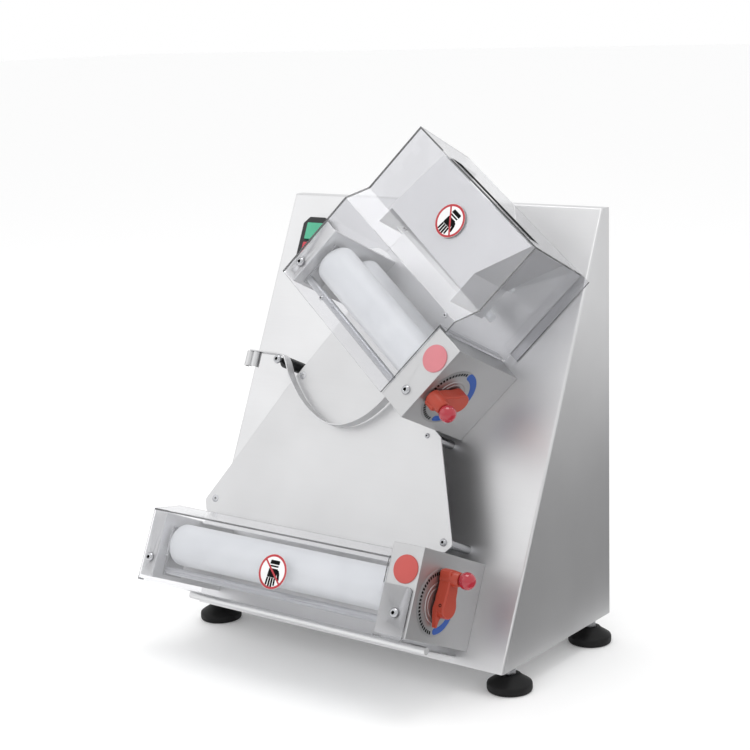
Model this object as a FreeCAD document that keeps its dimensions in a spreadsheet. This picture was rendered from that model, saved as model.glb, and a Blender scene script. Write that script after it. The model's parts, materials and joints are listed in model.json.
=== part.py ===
import FreeCAD, Part
import math
import os
import Sketcher
from FreeCAD import Placement, Rotation, Vector

# Two-pass dough sheeter: a wedge-shaped sheet-steel body carries an upper pair of rollers,
# set at a slant, and a lower pair, set level, with a chute and a balance arm between them.
# World frame: origin on the floor under the middle of the whole machine, +X right, -Y
# towards the user, +Z up. Each roller unit has its own frame: X along the rollers, Y up the front face,
# Z out of the front face.

doc = FreeCAD.newDocument("DoughSheeter")
os.makedirs("parts", exist_ok=True)

SIZES = {
    # body
    "centre_shift": 47.8, "body_width": 440.0, "body_height": 475.0,
    "base_depth": 230.0, "top_depth": 15.0,
    "foot_height": 27.5, "sheet": 1.5, "body_fold": 3.0,
    "foot_radius": 25.0, "foot_inset_x": 10.0, "foot_inset_y": 29.0, "stud_radius": 4.0,
    # where the two units sit on the front face (across, up the slope, slant in degrees)
    "lower_across": 170.0, "lower_up": 63.7, "lower_slant": 0.0, "lower_span": 320.0,
    "upper_across": 131.6, "upper_up": 281.5, "upper_slant": 35.5, "upper_span": 194.0,
    # adjuster box and bracket, shared by both units
    "box_length": 40.0, "box_half": 48.0, "reach": 122.5, "side_plate": 4.0,
    "flange_width": 19.0, "bracket_low": 46.0, "bracket_high": 30.0,
    # rollers and drive
    "roller_radius": 24.0, "roller_across": -2.0, "rear_out": 41.5, "least_gap": 0.6,
    "shaft_radius": 6.0, "end_play": 4.0, "fit": 0.05, "slide_fit": 0.3,
    "tooth_tip": 26.4, "tooth_root": 20.6, "gear_width": 7.0,
    "motor_out": 34.0, "motor_radius": 26.0, "pulley_radius": 14.0, "belt_thick": 1.8,
    # gap adjuster
    "dial_across": -5.0, "dial_out": 79.0, "cam_throw": 2.0, "cam_track": 11.5,
    "pin_radius": 2.5, "track_play": 0.9, "lever_shaft": 5.0, "lever_thick": 12.0,
    "lever_reach": 29.0, "ball_radius": 9.5, "dial_radius": 36.0,
    "lower_turn": 0.0, "upper_turn": 101.0, "upper_opening": 2.21,
    "cap_radius": 15.2, "screw_head": 5.45, "screw_shank": 3.0,
    # clear covers
    "clear_sheet": 2.0, "hood_top": 179.5, "hood_step_low": 64.0, "hood_step_high": 88.0,
    "hood_setback": 104.0, "hood_end": 28.0,
    # chute and balance arm
    "chute_out": 50.0, "arm_out": 53.0, "arm_width": 13.0, "arm_thick": 1.6,
    # switch
    "switch_across": -168.0, "switch_up": 459.0, "switch_width": 40.0, "switch_length": 62.0,
    "button_width": 24.0, "button_length": 21.0, "button_play": 0.4,
}

sheet = doc.addObject("Spreadsheet::Sheet", "Sizes")
for row, (alias, number) in enumerate(SIZES.items(), start=1):
    sheet.set("A%d" % row, alias)
    sheet.set("B%d" % row, str(number))
    sheet.setAlias("B%d" % row, alias)
doc.recompute()


class Size:
    """A number together with the spreadsheet expression that gives it."""

    def __init__(self, value, text):
        self.value = float(value)
        self.text = text

    def __add__(self, other):
        other = as_size(other)
        return Size(self.value + other.value, "(%s + %s)" % (self.text, other.text))

    def __sub__(self, other):
        other = as_size(other)
        return Size(self.value - other.value, "(%s - %s)" % (self.text, other.text))

    def __mul__(self, factor):
        return Size(self.value * factor, "(%s * %s)" % (self.text, as_size(factor).text))

    def __neg__(self):
        return Size(-self.value, "(0 - %s)" % self.text)

    __radd__ = __add__
    __rmul__ = __mul__

    def __rsub__(self, other):
        return as_size(other) - self


def as_size(number):
    if isinstance(number, Size):
        return number
    return Size(number, "(%.6f)" % float(number))


class Named:
    """Sizes from the spreadsheet, by name."""

    def __getattr__(self, alias):
        return Size(SIZES[alias], "Sizes." + alias)


S = Named()


def put(obj, prop, number):
    number = as_size(number)
    if "." not in prop:
        setattr(obj, prop, number.value)
    obj.setExpression(prop, number.text)


# ---------------------------------------------------------------- modelling helpers
nodes = []
WORLD = Placement(Vector(0, S.centre_shift.value, 0), Rotation())


def plane_of(body, role):
    return next(f for f in body.Origin.OriginFeatures if f.Role == role)


def new_body(label, place=None):
    body = doc.addObject("PartDesign::Body", label)
    body.Label = label
    body.Placement = place or WORLD
    return body


def keep(obj, label=None):
    obj.Label = label or obj.Label
    nodes.append(obj)
    return obj


def add_sketch(body, role, outlines, offset):
    sketch = body.newObject("Sketcher::SketchObject", "Sketch")
    sketch.AttachmentSupport = (plane_of(body, role), [""])
    sketch.MapMode = "FlatFace"
    put(sketch, "AttachmentOffset.Base.z", offset)
    sketch.AttachmentOffset = Placement(Vector(0, 0, as_size(offset).value), Rotation())
    for outline in outlines:
        if outline[0] == "circle":
            add_circle(sketch, *outline[1:])
        else:
            add_loop(sketch, outline)
    return sketch


def fix_point(sketch, geo, pos, across, up):
    for kind, number in (("DistanceX", as_size(across)), ("DistanceY", as_size(up))):
        if abs(number.value) < 1e-9 and number.text.count("Sizes") == 0:
            other = (-2, -1)[kind == "DistanceY"]
            sketch.addConstraint(Sketcher.Constraint("PointOnObject", geo, pos, other))
            continue
        index = sketch.addConstraint(Sketcher.Constraint(kind, geo, pos, number.value))
        sketch.setExpression("Constraints[%d]" % index, number.text)


def add_circle(sketch, across, up, radius):
    centre = Vector(as_size(across).value, as_size(up).value, 0)
    circle = Part.Circle(centre, Vector(0, 0, 1), as_size(radius).value)
    geo = sketch.addGeometry(circle, False)
    fix_point(sketch, geo, 3, across, up)
    index = sketch.addConstraint(Sketcher.Constraint("Radius", geo, as_size(radius).value))
    sketch.setExpression("Constraints[%d]" % index, as_size(radius).text)


def add_loop(sketch, corners):
    spots = [Vector(as_size(a).value, as_size(b).value, 0) for a, b in corners]
    count = len(spots)
    first = None
    for i in range(count):
        line = Part.LineSegment(spots[i], spots[(i + 1) % count])
        geo = sketch.addGeometry(line, False)
        first = geo if first is None else first
    for i in range(count):
        following = first + (i + 1) % count
        sketch.addConstraint(Sketcher.Constraint("Coincident", first + i, 2, following, 1))
    for i, (across, up) in enumerate(corners):
        fix_point(sketch, first + i, 1, across, up)


def feature(body, kind, role, outlines, start, end):
    """Pad or pocket the outlines between two heights on one of the body's origin planes."""
    start, end = as_size(start), as_size(end)
    offset = -end if role == "XZ_Plane" else start
    sketch = add_sketch(body, role, outlines, offset)
    solid = body.newObject("PartDesign::" + kind, kind)
    solid.Profile = sketch
    put(solid, "Length", end - start)
    solid.Reversed = kind == "Pocket"
    body.Tip = solid
    return solid


def pad(body, role, outline, start, end, *more):
    return feature(body, "Pad", role, [outline] + list(more), start, end)


def pocket(body, role, outline, start, end, *more):
    return feature(body, "Pocket", role, [outline] + list(more), start, end)


def round_edges(body, radius, wanted):
    doc.recompute()
    base = body.Tip
    names = ["Edge%d" % (i + 1) for i, e in enumerate(base.Shape.Edges) if wanted(e)]
    fillet = body.newObject("PartDesign::Fillet", "Fillet")
    fillet.Base = (base, names)
    put(fillet, "Radius", radius)
    body.Tip = fillet
    return fillet


def rect(left, low, right, high):
    return [(left, low), (right, low), (right, high), (left, high)]


def disc(across, up, radius):
    return ("circle", across, up, radius)


def primitive(kind, place, **sizes):
    obj = doc.addObject("Part::" + kind, kind)
    for prop, number in sizes.items():
        put(obj, prop, number)
    obj.Placement = place
    return obj


def fuse(*parts):
    obj = doc.addObject("Part::MultiFuse", "Fusion")
    obj.Shapes = list(parts)
    return obj


def cut(base, tool, place=None):
    obj = doc.addObject("Part::Cut", "Cut")
    obj.Base = base
    obj.Tool = tool
    if place:
        obj.Placement = place
    return obj


def group(label, parts):
    obj = doc.addObject("Part::Compound", label)
    obj.Links = list(parts)
    return keep(obj, label)


def shift(across=0.0, up=0.0, out=0.0):
    return Placement(Vector(as_size(across).value, as_size(up).value, as_size(out).value),
                     Rotation())


def screw(place, length):
    """Button-head socket screw whose head stands on the local XY plane."""
    head = primitive("Cone", Placement(), Radius1=S.screw_head, Radius2=S.screw_head * 0.66,
                     Height=S.screw_head * 0.6)
    shank = primitive("Cylinder", shift(out=-as_size(length).value), Radius=S.screw_shank,
                      Height=length)
    solid = fuse(head, shank)
    socket = primitive("Prism", shift(out=S.screw_head * 0.2), Circumradius=S.screw_head * 0.42,
                       Height=S.screw_head)
    return cut(solid, socket, place)


# ---------------------------------------------------------------- frames on the body
lean = math.atan2(S.base_depth.value - S.top_depth.value, S.body_height.value)
face_x = Vector(1, 0, 0)
face_y = Vector(0, math.sin(lean), math.cos(lean))
face_z = Vector(0, -math.cos(lean), math.sin(lean))
face_origin = Vector(0, -S.base_depth.value / 2, S.foot_height.value)
FACE = WORLD.multiply(Placement(face_origin, Rotation(face_x, face_y, face_z, "ZXY")))


def unit_frame(across, up, slant):
    turn = Placement(Vector(across.value, up.value, 0), Rotation(Vector(0, 0, 1), -slant.value))
    return FACE.multiply(turn)


LOWER = unit_frame(S.lower_across, S.lower_up, S.lower_slant)
UPPER = unit_frame(S.upper_across, S.upper_up, S.upper_slant)

half_width = S.body_width * 0.5
half_depth = S.base_depth * 0.5
top = S.foot_height + S.body_height
front_top = half_depth - S.top_depth

# ---------------------------------------------------------------- body
# folded wedge, open at the back and underneath, with a window behind each adjuster box
shell = new_body("shell_blank")
pad(shell, "YZ_Plane",
    [(-half_depth, S.foot_height), (half_depth, S.foot_height), (half_depth, top),
     (front_top, top)], -half_width, half_width)


def front_fold(edge):
    ends = [v.Point for v in edge.Vertexes]
    if len(ends) != 2:
        return False
    low, high = sorted(ends, key=lambda p: p.z)
    upright = high.z - low.z > 100 and high.y - low.y > 100
    across = abs(low.z - high.z) < 0.01 and low.z > top.value - 1 and low.y < front_top.value + 1
    return upright or (across and abs(low.x - high.x) > 100)


round_edges(shell, S.body_fold, front_fold)
inner_y = S.sheet * (1 / math.cos(lean))
slope = math.tan(lean)
pocket(shell, "YZ_Plane",
       [(-half_depth + inner_y - slope, S.foot_height - 1), (half_depth + 1, S.foot_height - 1),
        (half_depth + 1, top - S.sheet), (front_top + inner_y - S.sheet * slope,
                                          top - S.sheet)],
       -half_width + S.sheet, half_width - S.sheet)
windows = []
for frame in (LOWER, UPPER):
    corner = frame.multiply(shift(-32, S.roller_across - 20, -8))
    windows.append(primitive("Box", corner, Length=26, Width=40, Height=12))
keep(cut(shell, fuse(*windows)), "body_shell")

# floor of the body, with the four foot studs through it
base = new_body("base_plate")
foot_x = half_width - S.foot_inset_x
foot_y = half_depth - S.foot_inset_y
stud_x = foot_x - 6
pad(base, "XY_Plane", rect(-half_width + S.sheet, -half_depth + inner_y + slope * 2,
                           half_width - S.sheet, half_depth - S.sheet),
    S.foot_height, S.foot_height + 2)
keep(base)

# back panel with a row of cooling slots
back = new_body("back_panel")
pad(back, "XZ_Plane", rect(-half_width + S.sheet, S.foot_height, half_width - S.sheet,
                           top - S.sheet), half_depth - S.sheet, half_depth)
for level in range(6):
    slot_low = S.foot_height + 60 + level * 12
    pocket(back, "XZ_Plane", rect(-70, slot_low, 70, slot_low + 5),
           half_depth - S.sheet - 1, half_depth + 1)
screw_spots = [(side * (half_width - 9), S.foot_height + z) for side in (-1, 1)
               for z in (as_size(30), S.body_height * 0.5, S.body_height - 30)]
for x, z in screw_spots:
    pocket(back, "XZ_Plane", disc(x, z, S.screw_shank), half_depth - S.sheet - 1,
           half_depth + 1)
keep(back)

back_turn = Rotation(Vector(1, 0, 0), -90)
group("back_panel_screws",
      [screw(WORLD.multiply(Placement(Vector(x.value, half_depth.value, z.value), back_turn)),
             S.sheet) for x, z in screw_spots])

gland = new_body("cable_gland")
gland_x, gland_z = half_width - 60, S.foot_height + 40
pad(gland, "XZ_Plane", disc(gland_x, gland_z, 11), half_depth, half_depth + 4)
pad(gland, "XZ_Plane", disc(gland_x, gland_z, 8.5), half_depth + 4, half_depth + 13)
pocket(gland, "XZ_Plane", disc(gland_x, gland_z, 4.5), half_depth + 3, half_depth + 14)
keep(gland)

# rubber feet on studs; the feet stand partly outside the body's sides
feet, studs = [], []
for side_x in (-1, 1):
    for side_y in (-1, 1):
        at = WORLD.multVec(Vector(side_x * foot_x.value, side_y * foot_y.value, 0))
        rim = primitive("Cylinder", Placement(at, Rotation()), Radius=S.foot_radius, Height=9)
        bell = primitive("Cone", Placement(at + Vector(0, 0, 9), Rotation()),
                         Radius1=S.foot_radius, Radius2=S.foot_radius * 0.5, Height=9.5)
        feet.append(fuse(rim, bell))
        nut = primitive("Prism", Placement(at + Vector(0, 0, 18.5), Rotation()),
                        Circumradius=8, Height=S.foot_height - 18.5)
        studs.append(nut)
group("rubber_feet", feet)
group("foot_nuts", studs)

# ---------------------------------------------------------------- switch
switch_frame = FACE.multiply(shift(S.switch_across, S.switch_up, 0))
half_sw, half_sl = S.switch_width * 0.5, S.switch_length * 0.5
notch = 8
button_w = S.button_width * 0.5
button_gap = 2
bezel = new_body("switch_bezel", switch_frame)
pad(bezel, "XY_Plane",
    [(-half_sw + notch, -half_sl), (half_sw - notch, -half_sl), (half_sw, -half_sl + notch),
     (half_sw, half_sl - notch), (half_sw - notch, half_sl), (-half_sw + notch, half_sl),
     (-half_sw, half_sl - notch), (-half_sw, -half_sl + notch)], 0, 9)
pocket(bezel, "XY_Plane",
       rect(-button_w - S.button_play, button_gap - S.button_play, button_w + S.button_play,
            button_gap + S.button_length + S.button_play), 1.5, 10)
pocket(bezel, "XY_Plane",
       rect(-button_w - S.button_play, -button_gap - S.button_length - S.button_play,
            button_w + S.button_play, -button_gap + S.button_play), 1.5, 10)
keep(bezel)
for label, low in (("start_button", as_size(button_gap)),
                   ("stop_button", -button_gap - S.button_length)):
    button = new_body(label, switch_frame)
    pad(button, "XY_Plane", rect(-button_w, low, button_w, low + S.button_length), 5, 11.5)
    keep(button)

# ---------------------------------------------------------------- one roller unit
def gear(label, frame, centre_out, start, phase, shaft_ends=None):
    """Long-toothed gear: a disc with one tooth repeated sixteen times, bored or on a shaft."""
    body = new_body(label, frame.multiply(Placement(
        Vector(0, S.roller_across.value, centre_out.value), Rotation(Vector(1, 0, 0), phase))))
    pad(body, "YZ_Plane", disc(0, 0, S.tooth_root), start, start + S.gear_width)
    tooth = pad(body, "YZ_Plane",
                [(-2.7, S.tooth_root - 1.5), (2.7, S.tooth_root - 1.5), (1.1, S.tooth_tip),
                 (-1.1, S.tooth_tip)], start, start + S.gear_width)
    ring = body.newObject("PartDesign::PolarPattern", "Teeth")
    ring.Originals = [tooth]
    ring.Axis = (next(f for f in body.Origin.OriginFeatures if f.Role == "X_Axis"), [""])
    ring.Angle = 360
    ring.Occurrences = 16
    body.Tip = ring
    if shaft_ends:
        pad(body, "YZ_Plane", disc(0, 0, S.shaft_radius), shaft_ends[0], shaft_ends[1])
    else:
        pocket(body, "YZ_Plane", disc(0, 0, S.shaft_radius + S.fit), start - 1,
               start + S.gear_width + 1)
    return keep(body)


def roller(label, frame, left, right, out):
    body = new_body(label, frame)
    pad(body, "YZ_Plane", disc(S.roller_across, out, S.roller_radius), left, right)
    round_edges(body, 6, lambda e: len(e.Vertexes) == 1)
    pocket(body, "YZ_Plane", disc(S.roller_across, out, S.shaft_radius + S.fit), left - 1,
           right + 1)
    return keep(body)


def roller_unit(name, frame, span, opening, turn):
    box_left = -S.box_length
    wall = box_left - span                      # inner face of the left bracket's wall
    front_out = S.rear_out + S.roller_radius * 2 + S.least_gap + opening
    across = S.roller_across
    half = S.box_half
    inner = half - S.sheet
    plate_in = box_left + S.side_plate          # inner face of the box's side plate
    shaft_left = wall - S.side_plate - 1
    block = 14.0
    block_fit = block + S.slide_fit
    slot_low = S.rear_out + S.roller_radius * 2 + S.least_gap - block_fit
    slot_high = S.rear_out + S.roller_radius * 2 + S.least_gap + block_fit + S.cam_throw * 2

    # adjuster box: dial wall, front strip, top and bottom walls, and the carriage's rails
    case = new_body(name + "_adjuster_box", frame)
    pad(case, "YZ_Plane", rect(-half, 0, half, S.reach), box_left, 0)
    pocket(case, "YZ_Plane", rect(-inner, -1, inner, S.reach - S.sheet), box_left - 1, -S.sheet)
    for low, high in ((-inner, as_size(-39.3)), (as_size(28.0), inner)):
        pad(case, "YZ_Plane", rect(low, 70, high, S.reach - S.sheet), -25, -16)
    pocket(case, "YZ_Plane", disc(S.dial_across, S.dial_out, S.lever_shaft + S.fit),
           -S.sheet - 1, 1)
    screw_r, screw_q = -18.5, -24.5
    pocket(case, "XY_Plane", disc(screw_r, screw_q, S.screw_shank), S.reach - S.sheet - 1,
           S.reach + 1)
    keep(case)

    # thick side plate inside the box: bearing for the rear roller, slot for the front one
    side = new_body(name + "_side_plate", frame)
    pad(side, "YZ_Plane", rect(-inner, 0, inner, S.reach - S.sheet), box_left, plate_in)
    pocket(side, "YZ_Plane", disc(across, S.rear_out, S.shaft_radius + S.fit),
           box_left - 1, plate_in + 1)
    pocket(side, "YZ_Plane", rect(across - 9, slot_low + 4, across + 9, slot_high - 4),
           box_left - 1, plate_in + 1)
    tie_across, tie_rise, tie_radius = -34.5, 11.0, 4.5
    tie_base = S.rear_out + S.roller_radius * 2 + S.least_gap + tie_rise
    pocket(side, "YZ_Plane",
           rect(tie_across - tie_radius - 1, tie_base - tie_radius - 1,
                tie_across + tie_radius + 1, tie_base + tie_radius + 1 + S.cam_throw * 2),
           box_left - 1, plate_in + 1)
    keep(side)

    # left bracket: bearing wall with a flange turned outwards in front and at the body
    bracket = new_body(name + "_left_bracket", frame)
    low, high = -S.bracket_low, S.bracket_high
    wall_out = wall - S.side_plate
    flange_edge = wall - S.flange_width
    pad(bracket, "YZ_Plane", rect(low, 0, high, S.reach), wall_out, wall)
    pad(bracket, "XY_Plane", rect(flange_edge, low, wall_out + 0.5, high),
        S.reach - S.sheet, S.reach)
    pad(bracket, "XY_Plane", rect(flange_edge, low, wall_out + 0.5, high), 0, S.sheet)
    pocket(bracket, "YZ_Plane", disc(across, S.rear_out, S.shaft_radius + S.fit),
           wall_out - 1, wall + 1)
    pocket(bracket, "YZ_Plane",
           rect(across - block - 2 - S.slide_fit, slot_low, across + block + 2 + S.slide_fit,
                slot_high), wall_out - 1, wall + 1)
    pocket(bracket, "XY_Plane", disc(flange_edge + 9.5, screw_q, S.screw_shank),
           S.reach - S.sheet - 1, S.reach + 1)
    keep(bracket)

    # fixed rear roller with its shaft, gear and belt pulley
    left, right = wall + S.end_play, box_left - S.end_play
    roller(name + "_rear_roller", frame, left, right, S.rear_out)
    def pulley_shaft(label, out, shaft_start):
        body = new_body(label, frame)
        pad(body, "YZ_Plane", disc(across, out, S.shaft_radius), shaft_start, -9)
        pad(body, "YZ_Plane", disc(across, out, S.pulley_radius), -22, -10)
        for start in (-22, -11):
            pad(body, "YZ_Plane", disc(across, out, S.pulley_radius + 2.5), start, start + 1)
        keep(body)

    pulley_shaft(name + "_rear_shaft", S.rear_out, shaft_left)
    gear(name + "_rear_gear", frame, S.rear_out, plate_in + 2, 0)

    # front roller on its sliding carriage
    roller(name + "_front_roller", frame, left, right, front_out)
    gear(name + "_front_gear_shaft", frame, front_out, plate_in + 2, 180 + 11.25,
         (shaft_left, -19.8))

    carriage = new_body(name + "_carriage", frame)
    play = S.slide_fit
    cheek_low, cheek_high = -39.3 + play, 28.0 - play
    tie_out = front_out + tie_rise
    pad(carriage, "YZ_Plane",
        rect(cheek_low + 0, front_out - 11, cheek_high + 0, front_out + 16), -24, -17)
    pad(carriage, "YZ_Plane", disc(tie_across, tie_out, tie_radius), wall + 1, -18)
    pad(carriage, "YZ_Plane", rect(-41.0, front_out - block, 16.0, front_out + 16),
        wall + 0.4, wall + 2.4)
    pad(carriage, "YZ_Plane",
        rect(across - block - 2, front_out - block, across + block + 2, front_out + block),
        wall_out - 1.5, wall + 1)
    pin_out = front_out - (S.rear_out + S.roller_radius * 2 + S.least_gap) \
        + S.dial_out + S.cam_track - S.cam_throw
    pad(carriage, "YZ_Plane", disc(S.dial_across, pin_out, S.pin_radius), -18, -12.7)
    pocket(carriage, "YZ_Plane", disc(across, front_out, S.shaft_radius + S.fit),
           wall_out - 2, -19.5)
    keep(carriage)

    # lever: grooved cam disc and spindle, cast lever, ball knob
    lever_frame = frame.multiply(Placement(
        Vector(0, S.dial_across.value, S.dial_out.value), Rotation(Vector(1, 0, 0), turn.value)))
    cam = new_body(name + "_cam_spindle", lever_frame)
    track = S.pin_radius + S.track_play
    pad(cam, "YZ_Plane", disc(0, 0, S.cam_track + S.cam_throw + 5), -15.5, -9.5)
    pocket(cam, "YZ_Plane", disc(0, -S.cam_throw, S.cam_track + track), -16, -12.2,
           disc(0, -S.cam_throw, S.cam_track - track))
    pad(cam, "YZ_Plane", disc(0, 0, S.lever_shaft), -10, 9)
    keep(cam)

    lever = new_body(name + "_lever", lever_frame)
    thick = S.lever_thick
    hub = 12.5
    pad(lever, "YZ_Plane",
        [(-10.0, -9.5), (-2.0, -12.5), (8.0, -11.0), (16.0, -8.5), (S.lever_reach + 6, -8.0),
         (S.lever_reach + 9, -4.0), (S.lever_reach + 9, 4.0), (S.lever_reach + 6, 8.0),
         (16.0, 8.5), (8.0, 11.0), (-2.0, 12.5), (-10.0, 9.5)], 3, 3 + thick)
    pad(lever, "YZ_Plane", [(-9.0, -10.0), (-9.0, 10.0), (-29.5, 1.2), (-29.5, -1.2)],
        3, 3 + thick * 0.6)
    pad(lever, "YZ_Plane", disc(S.lever_reach, 0, 6.0), 3 + thick - 1, 3 + thick + 9)
    pocket(lever, "YZ_Plane", disc(0, 0, S.lever_shaft), 2, 9)
    keep(lever)
    seat = 3 + thick.value + 9
    ball = primitive("Sphere", lever_frame.multiply(
        shift(seat + S.ball_radius.value * 0.77, S.lever_reach)), Radius=S.ball_radius)
    flat = primitive("Box", lever_frame.multiply(
        shift(seat - 10, S.lever_reach - S.ball_radius, -S.ball_radius)), Length=10,
        Width=S.ball_radius * 2, Height=S.ball_radius * 2)
    keep(cut(ball, flat), name + "_ball_knob")

    dial = new_body(name + "_dial_plate", frame)
    pad(dial, "YZ_Plane", disc(S.dial_across, S.dial_out, S.dial_radius), 0, 0.8,
        disc(S.dial_across, S.dial_out, S.lever_shaft + 0.5))
    keep(dial)

    cap = new_body(name + "_red_cap", frame)
    pad(cap, "XY_Plane", disc(-17.5, 22, S.cap_radius), S.reach, S.reach + 1.6)
    round_edges(cap, 0.8, lambda e: e.BoundBox.ZMin > S.reach.value + 1.5 and
                len(e.Vertexes) == 1)
    keep(cap)

    # drive inside the body
    motor_out = -S.motor_out
    motor = new_body(name + "_gearmotor", frame)
    pad(motor, "YZ_Plane", rect(-31, motor_out - 28, 30, -S.sheet), -46, -43)
    pad(motor, "YZ_Plane", rect(across - 24, motor_out - 24, across + 24, motor_out + 24),
        -80, -46)
    pad(motor, "YZ_Plane", disc(across, motor_out, S.motor_radius), -140, -80)
    pocket(motor, "YZ_Plane", disc(across, motor_out, S.shaft_radius + S.fit), -60, -41)
    keep(motor)
    pulley_shaft(name + "_motor_pulley", motor_out, -59)

    belt = new_body(name + "_belt", frame)
    inside = S.pulley_radius + S.slide_fit
    outside = inside + S.belt_thick
    for start in (S.rear_out, motor_out):
        pad(belt, "YZ_Plane", disc(across, start, outside), -19.5, -12.5)
    pad(belt, "YZ_Plane", rect(across - outside, motor_out, across + outside, S.rear_out),
        -19.5, -12.5)
    for start in (S.rear_out, motor_out):
        pocket(belt, "YZ_Plane", disc(across, start, inside), -20, -12)
    pocket(belt, "YZ_Plane", rect(across - inside, motor_out, across + inside, S.rear_out),
           -20, -12)
    keep(belt)
    return wall, front_out


lower_wall, lower_front = roller_unit("lower", LOWER, S.lower_span, as_size(0.0), S.lower_turn)
upper_wall, upper_front = roller_unit("upper", UPPER, S.upper_span, S.upper_opening,
                                      S.upper_turn)

# ---------------------------------------------------------------- lower guard and plates
clear = S.clear_sheet
face = S.reach
guard = new_body("lower_guard", LOWER)
guard_left, guard_right = lower_wall - S.flange_width - 1, -S.box_length - 0.6
low, high = -S.bracket_low - 4, S.bracket_high
pad(guard, "YZ_Plane",
    [(low, face), (high, face), (high + 10, face - 38), (high + 10 + clear, face - 38),
     (high + clear, face + clear), (low - clear, face + clear), (low - clear, face - 16),
     (low, face - 16)], guard_left, guard_right)
pad(guard, "XY_Plane", rect(guard_right - 1, low - clear, -3, 4), face, face + clear)
for r in (-18.5, lower_wall - S.flange_width + 9.5):
    pocket(guard, "XY_Plane", disc(r, -24.5, S.screw_shank), face - 1, face + clear + 1)


def tab_corner(edge):
    spot = edge.BoundBox.Center
    tall = edge.BoundBox.ZLength > clear.value * 0.9
    thin = edge.BoundBox.XLength < 0.01 and edge.BoundBox.YLength < 0.01
    return tall and thin and spot.x > -4


round_edges(guard, 5, tab_corner)
keep(guard)

group("guard_screws", [
    screw(LOWER.multiply(shift(-18.5, -24.5, face + clear)), clear + S.sheet),
    screw(LOWER.multiply(shift(lower_wall - S.flange_width + 9.5, -24.5, face + clear)),
          clear + S.sheet),
    screw(UPPER.multiply(shift(-18.5, -24.5, face)), S.sheet),
    screw(UPPER.multiply(shift(upper_wall - S.flange_width + 9.5, -24.5, face + clear)),
          clear + S.sheet)])

intake = new_body("intake_plate", LOWER)
pad(intake, "YZ_Plane",
    [(43.0, 47.0), (41.5, 47.0), (27.0, 61.5), (28.2, 62.4), (42.2, S.chute_out - 1.5),
     (43.0, S.chute_out - 1.5)], lower_wall + 2.9, -S.box_length - 0.5)
keep(intake)

shelf = new_body("exit_shelf", LOWER)
pad(shelf, "YZ_Plane", rect(-57.5, 0, -56, 57), lower_wall + 8, -13)
pad(shelf, "YZ_Plane", disc(-56.5, 58, 4.4), lower_wall + 8, -13)
keep(shelf)

sign = new_body("lower_sign", LOWER)
pad(sign, "XY_Plane", disc(-187.5, -10.5, 20), face + clear, face + clear + 0.4)
keep(sign)

# ---------------------------------------------------------------- upper hood and funnel
hood = new_body("upper_hood", UPPER)
hood_left = upper_wall - S.flange_width - clear - 0.3
top_q, set_back = S.hood_top, S.hood_setback
end = -S.hood_end
bottom = -S.box_half
pad(hood, "YZ_Plane",
    [(bottom, face), (S.hood_step_low, face), (S.hood_step_high, set_back - clear),
     (top_q - clear, set_back - clear), (top_q - clear, 0), (top_q, 0), (top_q, set_back),
     (S.hood_step_high + 0.8, set_back), (S.hood_step_low + 0.8, face + clear),
     (bottom, face + clear)], hood_left, -S.box_length - 0.6)
above_box = S.box_half + 0.6
outline_end = [(above_box, 0), (above_box, face + clear), (S.hood_step_low + 0.8, face + clear),
               (S.hood_step_high + 0.8, set_back), (top_q, set_back), (top_q, 0)]
pad(hood, "YZ_Plane", outline_end, -S.box_length - 1.6, end)
pocket(hood, "YZ_Plane",
       [(above_box + clear, -1), (above_box + clear, face), (S.hood_step_low, face),
        (S.hood_step_high, set_back - clear), (top_q - clear, set_back - clear),
        (top_q - clear, -1)], -S.box_length - 3, end - clear)
pad(hood, "YZ_Plane",
    [(bottom, face), (S.hood_step_low + 0.4, face + 1), (S.hood_step_high + 0.4, set_back - 1),
     (top_q - 1, set_back - 1), (top_q - 1, 0), (S.bracket_high + 1, 0),
     (S.bracket_high + 1, 20), (bottom + 20, face - 20)],
    hood_left, hood_left + clear)
# foot flange on the body, and the feed slot in the top
pad(hood, "XY_Plane", rect(end - 0.5, above_box + 12, end + 13, top_q), 0, clear)
pocket(hood, "XZ_Plane", rect(-196, 78, -45, 100), top_q - clear - 1, top_q + 1)
pocket(hood, "XY_Plane", disc(upper_wall - S.flange_width + 9.5, -24.5, S.screw_shank),
       face - 1, face + clear + 1)
keep(hood)

funnel = new_body("funnel", UPPER)
funnel_front = set_back - clear - 1
pad(funnel, "XY_Plane", [(-215, 92), (-67, 89), (-67, 111), (-35, 176), (-205, 176)],
    funnel_front - S.sheet, funnel_front)
pad(funnel, "XY_Plane", [(-67, 70), (-67, 111), (-35, 176), (-36.8, 176), (-68.5, 111.5),
                         (-68.5, 70)], 34, funnel_front)
pad(funnel, "XY_Plane", [(-215, 70), (-213.5, 70), (-203.5, 176), (-205, 176)],
    34, funnel_front)
pad(funnel, "YZ_Plane", [(90, 34), (91.5, 34), (75.5, 70), (74, 70)], -214, -68)
keep(funnel)

rods = new_body("funnel_rods", UPPER)
for q in (145, 78):
    pad(rods, "YZ_Plane", disc(q, 29.2, 5), -212, -60)
for r in (-190, -90):
    pad(rods, "XY_Plane", rect(r, 76, r + 8, 147), 20, 27)
    pad(rods, "XY_Plane", disc(r + 4, 111, 4), 0, 21)
keep(rods)

sign = new_body("upper_sign", UPPER)
pad(sign, "XY_Plane", disc(-136.5, 131, 20), set_back, set_back + 0.4)
keep(sign)

# ---------------------------------------------------------------- chute
def on_face(across, up):
    spot = FACE.inverse().multVec(UPPER.multVec(Vector(across, up, 0)))
    return spot.x, spot.y


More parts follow.
